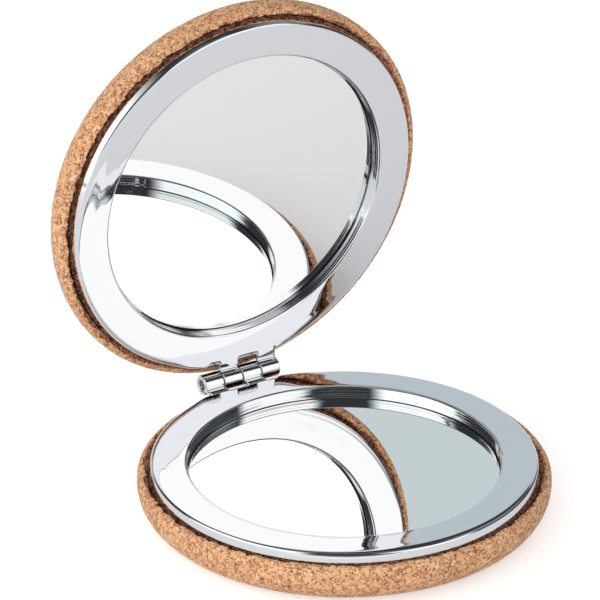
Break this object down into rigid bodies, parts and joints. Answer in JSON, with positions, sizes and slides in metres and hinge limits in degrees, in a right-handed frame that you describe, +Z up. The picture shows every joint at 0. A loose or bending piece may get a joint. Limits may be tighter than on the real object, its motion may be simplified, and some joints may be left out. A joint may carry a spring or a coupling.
{
  "type": "compact mirror",
  "caption": "Round folding compact mirror with cork shells, recessed mirrors in chromed pressed frames and a curled-knuckle hinge that holds the lid where it is put.",
  "frame": {"origin": "centre of the flat underside of the base", "axes": "+Z up from the surface it lies on, +Y towards the hinge, +X along the hinge axis to the right of a viewer at the front"},
  "size_m": [0.0704, 0.0797, 0.0802],
  "materials": {
    "cork": "matte pressed cork granules",
    "chrome": "polished chrome plate",
    "mirror_glass": "silvered float glass",
    "foam": "matte foam tape",
    "adhesive": "matte adhesive film",
    "pin_steel": "plain steel wire"
  },
  "bodies": {
    "base": {"base_cork_shell": "cork", "base_frame": "chrome", "base_frame_adhesive": "adhesive", "base_mirror": "mirror_glass", "base_mirror_foam_pad": "foam", "hinge_pin": "pin_steel"},
    "lid": {"lid_cork_shell": "cork", "lid_frame": "chrome", "lid_frame_adhesive": "adhesive", "lid_mirror": "mirror_glass", "lid_mirror_foam_pad": "foam"}
  },
  "joints": [
    {"name": "lid_hinge", "type": "hinge", "parent": "base", "child": "lid", "pos_m": [0, 0.03545, 0.0095], "axis": [-1, 0, 0], "range_deg": [-85.5, 94.5]}
  ]
}
